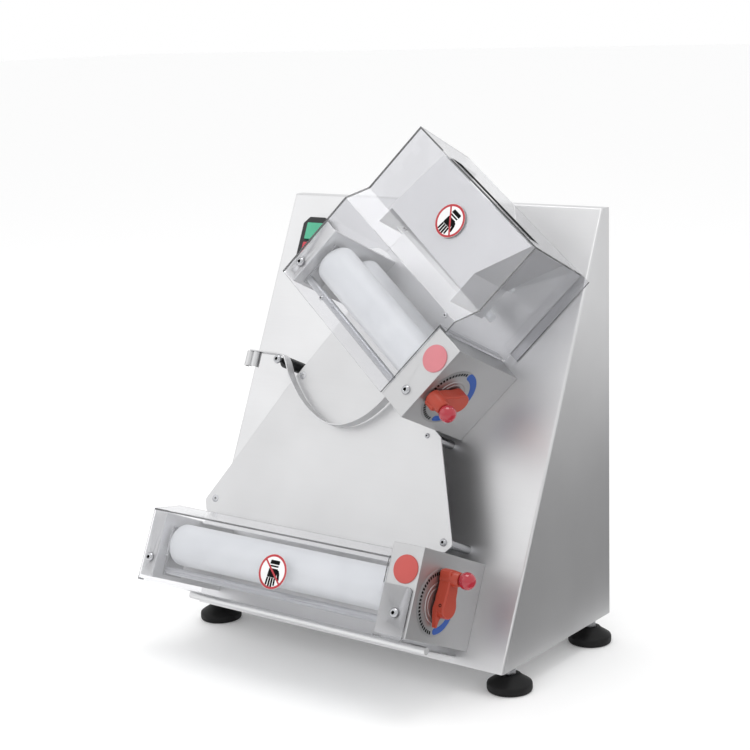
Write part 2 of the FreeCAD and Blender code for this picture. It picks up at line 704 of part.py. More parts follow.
chute = new_body("chute_plate", FACE)
under_box = [on_face(-3, -49), on_face(-44, -49), on_face(-44, -34), on_face(-201, -34),
             on_face(-201, -49)]
pad(chute, "XY_Plane",
    [(-197, 106.7), (126, 106.7), (126, 113.5), (147, 113.5), (155, 122), (110, 236.7)]
    + under_box + [(-118.8, 270), (-177, 166), (-203, 121)],
    S.chute_out - S.sheet, S.chute_out)
for spot in ((143.0, 124.0), (-188.0, 124.0), (-100.0, 285.0), (92.0, 236.0)):
    pocket(chute, "XY_Plane", disc(spot[0], spot[1], S.screw_shank), 40, S.chute_out + 1)
keep(chute)
spots = ((143.0, 124.0), (-188.0, 124.0), (-100.0, 285.0), (92.0, 236.0))
group("chute_spacers", [
    primitive("Cylinder", FACE.multiply(shift(a, b, 0)), Radius=5, Height=S.chute_out - S.sheet)
    for a, b in spots])
group("chute_screws", [screw(FACE.multiply(shift(a, b, S.chute_out)), S.sheet)
                       for a, b in spots])

# ---------------------------------------------------------------- balance arm
PIVOT = (-129.7, 297.7)
arm_frame = FACE.multiply(shift(PIVOT[0], PIVOT[1], 0))
post = new_body("arm_post", arm_frame)
pad(post, "XY_Plane", disc(0, 0, 7), 0, S.arm_out - 0.5)
pad(post, "XY_Plane", disc(0, 0, 3), S.arm_out - 1, S.arm_out + S.arm_width + 0.5)
pad(post, "XY_Plane", disc(0, 0, 5.4), S.arm_out + S.arm_width + 0.4,
    S.arm_out + S.arm_width + 3.5)
keep(post)

# the strip runs along this line, on edge: over the pivot, down, round and up again
RUN = [(-46, 7.2), (-6, 7.2), (5, 5.5), (12, -2), (22, -18), (34, -31), (48, -44), (66, -56),
       (85, -64.5), (100, -66.5), (118, -64), (138, -54), (154, -40), (166, -25), (176, -11)]


def strip(points, thick):
    upper, under = [], []
    for i, (x, y) in enumerate(points):
        before = points[max(i - 1, 0)]
        after = points[min(i + 1, len(points) - 1)]
        dx, dy = after[0] - before[0], after[1] - before[1]
        long = math.hypot(dx, dy)
        nx, ny = -dy / long, dx / long
        upper.append((x + thick * (nx * 0.5), y + thick * (ny * 0.5)))
        under.append((x - thick * (nx * 0.5), y - thick * (ny * 0.5)))
    return upper + under[::-1]


arm = new_body("balance_arm", arm_frame)
arm_in, arm_top = S.arm_out, S.arm_out + S.arm_width
pad(arm, "XY_Plane", strip(RUN, S.arm_thick), arm_in, arm_top)
pad(arm, "XY_Plane", disc(0, 0, 7.2), arm_in, arm_top)
pocket(arm, "XY_Plane", disc(0, 0, 3 + S.fit), arm_in - 1, arm_top + 1)
keep(arm)
weight = new_body("counterweight", arm_frame)
pad(weight, "XY_Plane", rect(-56, -12, -46, 9), arm_in, arm_top)
pad(weight, "XY_Plane", rect(-46.5, 1, -30, 6.4), arm_in, arm_top)
pad(weight, "XY_Plane", rect(-37, -12, -27, 6.4), arm_in, arm_top)
keep(weight)

# ---------------------------------------------------------------- check and export
doc.recompute()
faults = []
for obj in doc.Objects:
    if "Invalid" in obj.State or "Error" in obj.State:
        faults.append("%s (%s)" % (obj.Label, obj.TypeId))
for obj in nodes:
    if obj.Shape.isNull() or not obj.Shape.isValid() or not obj.Shape.Solids:
        faults.append(obj.Label + " has a bad shape")
if faults:
    raise RuntimeError("; ".join(faults))
for obj in nodes:
    obj.Shape.exportStep("parts/%s.step" % obj.Label)
    box = obj.Shape.BoundBox
    print("%-24s %d solid(s) %9.0f mm3  x %.1f..%.1f y %.1f..%.1f z %.1f..%.1f" % (
        obj.Label, len(obj.Shape.Solids), obj.Shape.Volume, box.XMin, box.XMax, box.YMin,
        box.YMax, box.ZMin, box.ZMax))
print(len(nodes), "nodes")
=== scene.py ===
# Table-top dough sheeter: two pairs of plastic rollers on a wedge of brushed stainless sheet.
# The upper pair sits at a slant under a clear hood, the lower pair level behind a clear
# guard, with a chute and a balance arm between them.
import json
import math

import bmesh
import bpy
from mathutils import Matrix, Vector


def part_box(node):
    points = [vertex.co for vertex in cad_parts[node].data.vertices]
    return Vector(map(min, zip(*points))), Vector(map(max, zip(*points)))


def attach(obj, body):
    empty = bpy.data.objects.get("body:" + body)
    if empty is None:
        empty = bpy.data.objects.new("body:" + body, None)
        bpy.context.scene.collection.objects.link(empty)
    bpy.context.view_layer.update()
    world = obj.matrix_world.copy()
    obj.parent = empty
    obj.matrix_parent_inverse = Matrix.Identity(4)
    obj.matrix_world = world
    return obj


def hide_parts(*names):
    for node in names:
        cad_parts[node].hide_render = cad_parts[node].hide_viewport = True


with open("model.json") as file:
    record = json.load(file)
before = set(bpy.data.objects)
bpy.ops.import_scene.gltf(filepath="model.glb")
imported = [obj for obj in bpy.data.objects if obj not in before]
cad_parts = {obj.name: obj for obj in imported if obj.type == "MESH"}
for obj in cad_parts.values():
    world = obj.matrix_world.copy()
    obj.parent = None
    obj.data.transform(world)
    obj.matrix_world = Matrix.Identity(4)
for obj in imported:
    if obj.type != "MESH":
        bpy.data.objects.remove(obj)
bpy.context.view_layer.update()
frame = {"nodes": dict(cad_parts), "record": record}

# ------------------------------------------------------------------ camera
# A long lens 2 m away, to the right of the front and a little above the machine, held with
# a slight roll. Upright edges stay nearly parallel.
camera_data = bpy.data.cameras.new("camera")
camera_data.lens = 81.2
camera_data.sensor_width = 36
camera_data.clip_end = 100
camera = bpy.data.objects.new("camera", camera_data)
bpy.context.scene.collection.objects.link(camera)
camera_spot = (1.1487, -1.4892, 0.7154)
roll = math.radians(-1.75)
back = Vector((0.5943, -0.7773, 0.2062)).normalized()
level = (-back).cross(Vector((0, 0, 1))).normalized()
upright = level.cross(-back)
right = level * math.cos(roll) + upright * math.sin(roll)
raised = -level * math.sin(roll) + upright * math.cos(roll)
camera.matrix_world = (Matrix.Translation(camera_spot)
                       @ Matrix((right, raised, back)).transposed().to_4x4())
bpy.context.scene.camera = camera

# ------------------------------------------------------------------ floor
# A wide white laminate table, lit faintly from within like a light table. It runs out to
# white all round and keeps only the soft shadow of the machine.


def linear(hex_colour):
    """Linear RGBA of an sRGB hex colour."""
    channels = [int(hex_colour[i:i + 2], 16) / 255 for i in (1, 3, 5)]
    return tuple(c / 12.92 if c <= 0.04045 else ((c + 0.055) / 1.055) ** 2.4
                 for c in channels) + (1.0,)


def add_node(tree, kind, inputs=None, **settings):
    """Adds a node, sets its properties, and fills its sockets with values or links."""
    node = tree.nodes.new(kind)
    for name, value in settings.items():
        setattr(node, name, value)
    for socket, value in (inputs or {}).items():
        if isinstance(value, bpy.types.NodeSocket):
            tree.links.new(value, node.inputs[socket])
        else:
            node.inputs[socket].default_value = value
    return node


def new_material(name):
    """An empty node material: its tree and output node."""
    material = bpy.data.materials.new(name)
    material.use_nodes = True
    material.node_tree.nodes.clear()
    output = add_node(material.node_tree, "ShaderNodeOutputMaterial")
    return material, material.node_tree, output


def matt_board(name, colour, rough, glow=0.0):
    """Flat studio board: one even colour without gloss, which may glow faintly."""
    material, tree, output = new_material(name)
    board = add_node(tree, "ShaderNodeBsdfPrincipled",
                     {"Base Color": linear(colour), "Roughness": rough,
                      "Emission Color": (1, 1, 1, 1), "Emission Strength": glow})
    tree.links.new(board.outputs["BSDF"], output.inputs["Surface"])
    return material


def studio_sheet(name, left, right_end, near, far, height, material):
    """A flat level sheet of the studio, in metres."""
    mesh = bpy.data.meshes.new(name)
    mesh.from_pydata([(left, near, height), (right_end, near, height),
                      (right_end, far, height), (left, far, height)], [], [(0, 1, 2, 3)])
    mesh.materials.append(material)
    sheet = bpy.data.objects.new(name, mesh)
    bpy.context.scene.collection.objects.link(sheet)
    return sheet


# laminate pressed smooth and matt: a pale ground that mirrors nothing
white_table = matt_board("white_laminate_table", "#F8F8F8", 0.9, 0.08)
floor = studio_sheet("floor", -30, 30, -30, 30, 0, white_table)

# ------------------------------------------------------------------ surround and lamps
# White studio walls, a touch greyer below, round a large soft box at the front left and a
# smaller one overhead. Whites are left white, with no film curve over them.
world = bpy.data.worlds.new("studio")
bpy.context.scene.world = world
bpy.context.scene.view_settings.view_transform = "Standard"
world.use_nodes = True
sky = world.node_tree
sky.nodes.clear()
heights = add_node(sky, "ShaderNodeSeparateXYZ",
                   {0: add_node(sky, "ShaderNodeTexCoord").outputs["Generated"]})
ramp = add_node(sky, "ShaderNodeValToRGB", {0: heights.outputs["Z"]})
ramp.color_ramp.elements[0].color = (0.86, 0.865, 0.87, 1)
ramp.color_ramp.elements[1].position = 0.7
ramp.color_ramp.elements[1].color = (1.0, 1.0, 1.0, 1)
glow = add_node(sky, "ShaderNodeBackground", {"Color": ramp.outputs["Color"], "Strength": 0.97})
white = add_node(sky, "ShaderNodeBackground", {"Color": (1, 1, 1, 1), "Strength": 1.0})
seen = add_node(sky, "ShaderNodeMixShader",
                {0: add_node(sky, "ShaderNodeLightPath").outputs["Is Camera Ray"],
                 1: glow.outputs[0], 2: white.outputs[0]})
add_node(sky, "ShaderNodeOutputWorld", {"Surface": seen.outputs[0]})


def soft_box(name, place, aim, width, height, power):
    """Rectangular lamp in metres and watts, turned to face a point."""
    lamp = bpy.data.lights.new(name, "AREA")
    lamp.shape = "RECTANGLE"
    lamp.size = width
    lamp.size_y = height
    lamp.energy = power
    box = bpy.data.objects.new(name, lamp)
    bpy.context.scene.collection.objects.link(box)
    facing = (Vector(aim) - Vector(place)).to_track_quat("-Z", "Y")
    box.matrix_world = Matrix.Translation(place) @ facing.to_matrix().to_4x4()


soft_box("key", (-1.8, -2.0, 1.9), (0, 0, 0.25), 3.2, 2.4, 9)
soft_box("over", (0.1, 0.1, 2.8), (0, 0, 0.3), 1.3, 1.3, 15)

# ------------------------------------------------------------------ grey card
# Card laid on the table beyond the right end, as a studio flag: only mirror-like rays meet
# it. The side panel picks it up low down, which gives its fall from bright to grey.
card_matt = matt_board("black_card_matt", "#7C7C7C", 1.0)
card = studio_sheet("dark_card", 0.26, 1.5, -0.25, 1.4, 0.002, card_matt)
card.visible_camera = False
card.visible_diffuse = False
card.visible_shadow = False

# ------------------------------------------------------------------ body
# Wedge folded from 1.5 mm stainless sheet, grained with a belt along its width.
# A base plate of the same sheet closes it below.
nodes = frame["nodes"]


def brushed_stainless(name, colour, grain, rough, spread, streak=0.12):
    """Belt-grained or turned steel: fine lines along the grain make gloss and height vary.

    It gives the eye long soft reflections, streaked across the grain, and a faint cloudiness.
    The real lines are a tenth of a millimetre apart; these are drawn several times coarser
    so that they show.
    """
    lines_per_mm = 1.7
    runs_per_mm = 0.014
    cloud_mm = 1000 / 9
    material, tree, output = new_material(name)
    at = add_node(tree, "ShaderNodeTexCoord").outputs["Object"]
    lines = add_node(tree, "ShaderNodeMapping",
                     {"Vector": at, "Rotation": grain,
                      "Scale": (1000 * runs_per_mm, 1000 * lines_per_mm, 1000 * lines_per_mm)})
    streaks = add_node(tree, "ShaderNodeTexNoise",
                       {"Vector": lines.outputs[0], "Scale": 1.0, "Detail": 3.0,
                        "Roughness": 0.6})
    clouds = add_node(tree, "ShaderNodeTexNoise",
                      {"Vector": at, "Scale": 1000 / cloud_mm, "Detail": 2.0})
    gloss = add_node(tree, "ShaderNodeMapRange",
                     {0: streaks.outputs["Fac"], 1: 0.3, 2: 0.7, 3: rough - spread,
                      4: rough + spread})
    tone = add_node(tree, "ShaderNodeMapRange",
                    {0: clouds.outputs["Fac"], 1: 0.3, 2: 0.7, 3: 0.96, 4: 1.04})
    shade = add_node(tree, "ShaderNodeVectorMath",
                     {0: linear(colour)[:3], "Scale": tone.outputs[0]}, operation="SCALE")
    relief = add_node(tree, "ShaderNodeBump",
                      {"Strength": streak, "Distance": 0.00002,
                       "Height": streaks.outputs["Fac"]})
    steel = add_node(tree, "ShaderNodeBsdfPrincipled",
                     {"Base Color": shade.outputs[0], "Metallic": 1.0,
                      "Roughness": gloss.outputs[0], "Normal": relief.outputs[0]})
    tree.links.new(steel.outputs[0], output.inputs["Surface"])
    return material


def soft_edges(thing, width, segments, angle=30):
    """Rounds a piece's sharp edges by a width in millimetres."""
    edge = thing.modifiers.new("edge", "BEVEL")
    edge.width = width / 1000
    edge.segments = segments
    edge.limit_method = "ANGLE"
    edge.angle_limit = math.radians(angle)
    return edge


def finish_node(name, material, edge=0.4):
    """Gives a CAD node its material and a small rounding on its cut or folded edges."""
    thing = nodes[name]
    thing.data.materials.clear()
    thing.data.materials.append(material)
    if edge:
        weld = thing.modifiers.new("weld", "WELD")
        weld.merge_threshold = 0.000005
        soft_edges(thing, edge, 2, 40).harden_normals = True


along_width = (0, 0, 0)
# pale and half matt, with the reflections drawn out across the grain
body_steel = brushed_stainless("stainless_sheet_belt_grained", "#DBDBDC", along_width, 0.42, 0.06)
finish_node("body_shell", body_steel, 0.5)
finish_node("base_plate", body_steel, 0.3)

# ------------------------------------------------------------------ back panel
# Flat sheet of the same grained steel, slotted for cooling. Six M5 button-head socket screws
# of polished stainless hold it to the folded edges of the body.
finish_node("back_panel", body_steel, 0.3)
world_mm = Matrix.Scale(0.001, 4)


def new_piece(name, mesh, place, material, smooth=40):
    """A mesh given in a frame's millimetres becomes a piece in the row frame."""
    mesh.transform(place)
    if place.determinant() < 0:
        mesh.flip_normals()
    mesh.materials.append(material)
    thing = bpy.data.objects.new(name, mesh)
    bpy.context.scene.collection.objects.link(thing)
    if smooth:
        mesh.shade_smooth()
        mesh.set_sharp_from_angle(angle=math.radians(smooth))
    return thing


def joined(name, meshes, place, material, smooth=40):
    """Several meshes in the same frame become one piece."""
    shape = bmesh.new()
    for mesh in meshes:
        shape.from_mesh(mesh)
    whole = bpy.data.meshes.new(name)
    shape.to_mesh(whole)
    shape.free()
    return new_piece(name, whole, place, material, smooth)


def lifted(place, x, y, z):
    """A frame moved to a point given in its own millimetres."""
    return place @ Matrix.Translation((x, y, z))


def button_head(place, radius):
    """Domed head with a hexagon socket, standing on the place's XY plane."""
    m6_radius = 5.45
    size = radius / m6_radius
    steps = 48
    # radius, height, and whether the ring is a hexagon, for an M6 head
    profile = [(m6_radius, 0, False), (m6_radius, 0.5, False), (5.2, 1.35, False),
               (4.6, 2.25, False), (3.7, 2.95, False), (3.1, 3.2, False), (2.45, 3.3, True),
               (2.2, 3.1, True), (2.2, 1.0, True), (1.2, 0.7, False)]
    first_socket_band = 7
    shape = bmesh.new()
    rings = []
    for ring_radius, height, hexagon in profile:
        ring = []
        for i in range(steps):
            angle = 2 * math.pi * i / steps
            reach = size * ring_radius
            if hexagon:
                reach *= math.cos(math.pi / 6) / math.cos(angle % (math.pi / 3) - math.pi / 6)
            ring.append(shape.verts.new((reach * math.cos(angle), reach * math.sin(angle),
                                         size * height)))
        rings.append(ring)
    for band, (low, high) in enumerate(zip(rings, rings[1:])):
        for i in range(steps):
            j = (i + 1) % steps
            face = shape.faces.new((low[i], low[j], high[j], high[i]))
            face.material_index = int(band >= first_socket_band)
    shape.faces.new(rings[-1]).material_index = 1
    shape.faces.new(list(reversed(rings[0])))
    mesh = bpy.data.meshes.new("head")
    shape.to_mesh(mesh)
    shape.free()
    mesh.transform(place)
    return mesh


# tumbled and polished: small bright lights on the dome
polished = brushed_stainless("stainless_screw_polished", "#B8B9BC", along_width, 0.16, 0.04)
# the sockets are painted near black: painted shade for their deep hexagon recess
socket_painted_shade = brushed_stainless("stainless_socket_painted_shade", "#161616", along_width, 0.5, 0.05)


def screw_heads(name, heads):
    """Heads as one piece, polished outside, with painted shade in the sockets."""
    group = joined(name, heads, Matrix.Identity(4), polished, 35)
    # the second material paints the sockets near black, as painted shade
    group.data.materials.append(socket_painted_shade)
    return group


facing_back = Matrix.Rotation(math.radians(-90), 4, "X")
panel_heads = screw_heads("back_screw_heads",
                          [button_head(lifted(world_mm, x, 162.8, z) @ facing_back, 4.6)
                           for x in (-211, 211) for z in (57.5, 265, 472.5)])
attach(panel_heads, "machine")
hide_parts("back_panel_screws")

# ------------------------------------------------------------------ feet
# Bell feet moulded in black rubber, each 50 mm wide. A zinc-plated nut locks the stud of
# each foot to the base plate.


def turned(profile, steps=64, axis="Z", at=(0, 0, 0)):
    """Lathe work: (radius, height) pairs spun round an axis, closed at radius 0."""
    mesh = bpy.data.meshes.new("turned")
    shape = bmesh.new()
    rings = []
    for radius, height in profile:
        if radius < 1e-6:
            rings.append([shape.verts.new((0, 0, height))])
            continue
        rings.append([shape.verts.new((radius * math.cos(2 * math.pi * i / steps),
                                       radius * math.sin(2 * math.pi * i / steps), height))
                      for i in range(steps)])
    for low, high in zip(rings, rings[1:]):
        for i in range(steps):
            j = (i + 1) % steps
            corners = [low[i % len(low)], low[j % len(low)], high[j % len(high)],
                       high[i % len(high)]]
            shape.faces.new(list(dict.fromkeys(corners)))
    bmesh.ops.recalc_face_normals(shape, faces=shape.faces)
    if axis == "X":
        shape.transform(Matrix(((0, 0, 1, 0), (1, 0, 0, 0), (0, 1, 0, 0), (0, 0, 0, 1))))
    shape.transform(Matrix.Translation(at))
    shape.to_mesh(mesh)
    shape.free()
    return mesh


def moulded_plastic(name, colour, rough, grit=0.6, depth=0.00003, coat=0.0, under=0.0,
                    shine=0.5):
    """Moulded plastic, rubber or print: an even colour under a soft gloss.

    A fine grit in the surface, sized in millimetres, breaks the gloss up, and colour and
    gloss drift a little over some 40 mm, as in real mouldings.
    """
    patch_mm = 40
    material, tree, output = new_material(name)
    at = add_node(tree, "ShaderNodeTexCoord").outputs["Object"]
    grain = add_node(tree, "ShaderNodeTexNoise",
                     {"Vector": at, "Scale": 1000 / grit, "Detail": 2.0})
    patches = add_node(tree, "ShaderNodeTexNoise",
                       {"Vector": at, "Scale": 1000 / patch_mm, "Detail": 3.0})
    tone = add_node(tree, "ShaderNodeMapRange",
                    {0: patches.outputs["Fac"], 1: 0.3, 2: 0.7, 3: 0.94, 4: 1.06})
    shade = add_node(tree, "ShaderNodeVectorMath",
                     {0: linear(colour)[:3], "Scale": tone.outputs[0]}, operation="SCALE")
    gloss = add_node(tree, "ShaderNodeMapRange",
                     {0: patches.outputs["Fac"], 1: 0.3, 2: 0.7, 3: rough * 0.88,
                      4: min(rough * 1.12, 1.0)})
    relief = add_node(tree, "ShaderNodeBump",
                      {"Strength": 0.4, "Distance": depth, "Height": grain.outputs["Fac"]})
    plastic = add_node(tree, "ShaderNodeBsdfPrincipled",
                       {"Base Color": shade.outputs[0], "Roughness": gloss.outputs[0],
                        "IOR": 1.5, "Specular IOR Level": shine,
                        "Normal": relief.outputs[0], "Coat Weight": coat,
                        "Coat Roughness": 0.05, "Subsurface Weight": under,
                        "Subsurface Radius": (0.004, 0.004, 0.004),
                        "Subsurface Scale": 1.0})
    tree.links.new(plastic.outputs[0], output.inputs["Surface"])
    return material


def hexagon_nut(radius, low, high, at):
    """Nut with its corners chamfered off top and bottom."""
    return turned([(0, low), (radius * 0.86, low), (radius * 0.98, low + 0.9),
                   (radius * 0.98, high - 0.9), (radius * 0.86, high), (0, high)], 6, at=at)


# moulded rubber: nearly black, with a dull sheen on the shoulder
black_rubber = moulded_plastic("black_rubber_moulded", "#0B0B0C", 0.6, 0.8, 0.00004, shine=0.3)
foot_radius = 25
foot_low, foot_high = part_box("rubber_feet")
foot_inset = foot_radius / 1000
foot_spots = [(x * 1000, y * 1000, 0) for x in (foot_low[0] + foot_inset, foot_high[0] - foot_inset)
              for y in (foot_low[1] + foot_inset, foot_high[1] - foot_inset)]
foot_profile = [(0, 0), (22.6, 0), (24.3, 0.7), (foot_radius, 2.4), (foot_radius, 7.4),
                (24.5, 8.8), (23, 10), (15.2, 15.2), (13.2, 17), (12.2, 18.2), (11.2, 18.5),
                (0, 18.5)]
feet = joined("feet_rubber", [turned(foot_profile, 72, at=spot) for spot in foot_spots],
              world_mm, black_rubber)
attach(feet, "machine")
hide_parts("rubber_feet")

# turned and zinc plated: a slightly blue, soft metal gloss
zinc = brushed_stainless("zinc_plated_steel_turned", "#B9BABD", along_width, 0.28, 0.06)
stud_profile = [(0, 23), (4, 23), (4, 27.5), (0, 27.5)]
nuts = joined("feet_nuts",
              [hexagon_nut(8.0, 18.5, 24.0, spot) for spot in foot_spots]
              + [turned(stud_profile, 32, at=spot) for spot in foot_spots],
              world_mm, zinc, 30)
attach(nuts, "machine")
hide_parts("foot_nuts")

# ------------------------------------------------------------------ switch and cable gland
# Moulded black bezel clipped into the front, with a green start button over a red stop
# button. A gland of the same black plastic is screwed into the back.

# glass-filled polyamide: black, lightly textured, half matt
black_plastic = moulded_plastic("black_polyamide_moulded", "#1B1C1E", 0.42, 0.7, 0.00003)
# clear-grade plastic dyed in the mass: smooth and bright, with a little depth
green_plastic = moulded_plastic("green_polycarbonate_moulded", "#4FB28E", 0.25, 0.7, 0.00001,
                                under=0.2)
red_plastic = moulded_plastic("red_polycarbonate_moulded", "#C23B4A", 0.25, 0.7, 0.00001,
                              under=0.2)
finish_node("switch_bezel", black_plastic, 0.8)
finish_node("start_button", green_plastic, 0.9)
finish_node("stop_button", red_plastic, 0.9)
finish_node("cable_gland", black_plastic, 0.5)

# ------------------------------------------------------------------ drive
# Behind each unit a geared motor turns the rear roller by a rubber belt, and equal steel
# gears turn the front roller, which rides in a machined carriage.

# machined from bar and slightly oily: grey, with sharper lights than the sheet
machined = brushed_stainless("steel_machined", "#A9AAAE", along_width, 0.3, 0.08)
# sprayed enamel: dark grey with an even half gloss
motor_paint = moulded_plastic("grey_motor_enamel", "#4B4F55", 0.4, 0.9, 0.00003)
# moulded belt rubber: black and dull
belt_rubber = moulded_plastic("black_belt_rubber", "#1D1D1E", 0.7, 0.8, 0.00006)
for name in ("lower", "upper"):
    for part in ("rear_shaft", "rear_gear", "front_gear_shaft", "carriage", "motor_pulley",
                 "cam_spindle"):
        finish_node("%s_%s" % (name, part), machined, 0.25)
    finish_node(name + "_gearmotor", motor_paint, 0.6)
    finish_node(name + "_belt", belt_rubber, 0.0)

# ------------------------------------------------------------------ rollers
# Turned from white acetal bar, 48 mm thick, with rounded ends, and pressed on their shafts.
# The upper pair is shorter. The front roller of each pair moves out to open the gap.
joints = {joint["name"]: joint for joint in frame["record"]["behaviour"]["joints"]}
dial_centre = (-5, 79)          # up the slope, and out of the front


def frame_from(origin, along, out):
    """Millimetre frame at a point, with X and Z as given."""
    up = out.cross(along)
    axes = Matrix((along, up, out)).transposed().to_4x4()
    return Matrix.Translation(origin) @ axes @ Matrix.Scale(0.001, 4)


def unit_frame(name):
    """Frame of a roller unit: X along its rollers, Y up the slope, Z out of the front."""
    along = Vector(joints[name + "_lever_turn"]["axis"])
    out = Vector(joints[name + "_gap_slide"]["axis"])
    spindle = Vector(joints[name + "_lever_turn"]["pos_m"])
    up = out.cross(along)
    return frame_from(spindle - dial_centre[0] / 1000 * up - dial_centre[1] / 1000 * out,
                      along, out)


unit = {"lower": unit_frame("lower"), "upper": unit_frame("upper")}
# turned acetal: milky white and satin, with light soaking a little below the surface
white_acetal = moulded_plastic("white_acetal_turned", "#F3F4F6", 0.36, 1.2, 0.000004, under=0.3)
roller_radius = 24
end_round = 6
right_end = -44.0
wall_inside = {"lower": -360.0, "upper": -234.0}
for name in ("lower", "upper"):
    left = wall_inside[name] + 4
    arc = [(roller_radius - end_round + end_round * math.sin(t), end_round - end_round * math.cos(t))
           for t in [math.radians(a) for a in range(0, 91, 10)]]
    profile = ([(0, left)] + [(r, left + x) for r, x in arc]
               + [(r, right_end - x) for r, x in reversed(arc)] + [(0, right_end)])
    for which in ("rear", "front"):
        spin = Vector(joints["%s_%s_spin" % (name, which)]["pos_m"])
        axle = unit[name].inverted() @ spin
        roller = new_piece("%s_%s_roller_turned" % (name, which),
                           turned(profile, 128, "X", (0, axle.y, axle.z)), unit[name],
                           white_acetal, 60)
        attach(roller, "%s_%s_roller_set" % (name, which))
        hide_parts("%s_%s_roller" % (name, which))

# ------------------------------------------------------------------ boxes and brackets
# The adjuster box at the right and the bracket at the left are folded from stainless sheet
# and fixed to the front. The side plates are laser-cut from thicker sheet.
grain_slant = {"lower": along_width, "upper": (0, math.radians(35.5), 0)}
for name in ("lower", "upper"):
    # grained along the rollers, more matt than the body: the box greyer, the brackets and side
    # plates painted lighter as painted light
    box_steel = brushed_stainless("stainless_box_%s_grained" % name, "#C4C4C5",
                                  grain_slant[name], 0.46, 0.05)
    bracket_steel_painted_light = brushed_stainless("stainless_bracket_%s_grained" % name, "#E4E4E5",
                                      grain_slant[name], 0.46, 0.05)
    finish_node(name + "_adjuster_box", box_steel, 0.7)
    for part in ("side_plate", "left_bracket"):
        finish_node("%s_%s" % (name, part), bracket_steel_painted_light, 0.7)

# ------------------------------------------------------------------ dials
# A turned steel plate behind each lever, with two raised rings. It is screen printed with a
# ring of black ticks and a blue wedge that narrows as the gap closes.

# turned face, left fine: grey and even
dial_steel = brushed_stainless("dial_plate_turned", "#B6B6B7", along_width, 0.44, 0.04)
# screen-printed ink, baked on: flat black, and a blue with a slight gloss
black_print = moulded_plastic("black_screen_print", "#050505", 0.8, 1.0, 0.00001, shine=0.15)
blue_print = moulded_plastic("blue_screen_print", "#2350A0", 0.45, 1.0, 0.00001)


def cut_out(outlines, low, high, plane="YZ"):
    """Flat shapes cut to outlines in a local plane, between two heights square to it."""
    mesh = bpy.data.meshes.new("cut")
    shape = bmesh.new()
    for outline in outlines:
        face = shape.faces.new([shape.verts.new((across, up, low)) for across, up in outline])
        top = bmesh.ops.extrude_face_region(shape, geom=[face])
        bmesh.ops.translate(shape, vec=(0, 0, high - low),
                            verts=[v for v in top["geom"] if isinstance(v, bmesh.types.BMVert)])
    bmesh.ops.recalc_face_normals(shape, faces=shape.faces)
    if plane == "YZ":
        shape.transform(Matrix(((0, 0, 1, 0), (1, 0, 0, 0), (0, 1, 0, 0), (0, 0, 0, 1))))
    shape.to_mesh(mesh)
    shape.free()
    return mesh


def arc_points(centre, radius, start, stop, steps):
    """Points along an arc, from one angle in degrees to another."""
    return [(centre[0] + radius * math.cos(math.radians(start + (stop - start) * i / steps)),
             centre[1] + radius * math.sin(math.radians(start + (stop - start) * i / steps)))
            for i in range(steps + 1)]


plate_profile = [(0, 0), (35.6, 0), (36, 0.2), (36, 0.35), (35.6, 0.5), (22.0, 0.5), (21.6, 0.9),
                 (20.6, 1.1), (19.6, 0.9), (19.2, 0.5), (17.0, 0.5), (16.7, 0.8), (15.6, 0.8),
                 (15.3, 0.5), (0, 0.5)]
print_low, print_high = 0.48, 0.6
first_tick, tick_step, tick_count = 6, 7.1, 25          # degrees
tick_corners = ((29.8, -1.15), (33.4, -1.3), (33.4, 1.3), (29.8, 1.15))
ticks = []
for step in range(tick_count):
    angle = math.radians(first_tick + step * tick_step)
    cy, cz = math.cos(angle), math.sin(angle)
    ticks.append([(dial_centre[0] + cy * r - cz * w, dial_centre[1] + cz * r + cy * w)
                  for r, w in tick_corners])


def wedge_spot(part):
    """Angle in radians, middle radius and half width of the blue wedge along its length."""
    return math.radians(-8 - 160 * part), 31.2 - 1.2 * part, 4.4 - 0.8 * part


def wedge_side(parts, side):
    """One long side of the wedge: outer for 1, inner for -1."""
    return [(dial_centre[0] + (r + side * w) * math.cos(t),
             dial_centre[1] + (r + side * w) * math.sin(t))
            for t, r, w in [wedge_spot(part) for part in parts]]


def wedge_end(part, start, stop):
    """Round end of the wedge, turning from start to stop degrees past its own angle."""
    t, r, w = wedge_spot(part)
    centre = (dial_centre[0] + r * math.cos(t), dial_centre[1] + r * math.sin(t))
    return arc_points(centre, w, math.degrees(t) + start, math.degrees(t) + stop, 8)[1:-1]


along_wedge = [step / 30 for step in range(31)]
wedge_outline = (wedge_side(along_wedge, 1) + wedge_end(1, 0, -180)
                 + wedge_side(along_wedge[::-1], -1) + wedge_end(0, 180, 0))
for name in ("lower", "upper"):
    plate = new_piece(name + "_dial_turned", turned(plate_profile, 128, "X", (0,) + dial_centre),
                      unit[name], dial_steel, 25)
    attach(plate, "machine")
    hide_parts(name + "_dial_plate")
    print_ticks = new_piece(name + "_dial_ticks", cut_out(ticks, print_low, print_high),
                            unit[name], black_print, 0)
    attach(print_ticks, "machine")
    wedge = new_piece(name + "_dial_wedge", cut_out([wedge_outline], print_low, print_high),
                      unit[name], blue_print, 0)
    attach(wedge, "machine")

# ------------------------------------------------------------------ levers
# Moulded in glass-filled nylon and held on the spindle by a grub screw: a claw that points
# at the ticks, and a round neck with a ball of red phenolic screwed on.

# moulded nylon: warm orange-red with a soft gloss
orange_nylon = moulded_plastic("orange_red_nylon_moulded", "#AC3C28", 0.36, 0.8, 0.00002)
# phenolic polished on a wheel: deep red under a clear, sharp gloss
red_ball = moulded_plastic("red_phenolic_polished", "#A81E30", 0.12, 1.5, 0.000004, coat=0.6)
lever_turned = {"lower": 0.0, "upper": 101.0}          # degrees on from the zero stop
hub_centre = (-2, -3)
hub_radius = 12.4
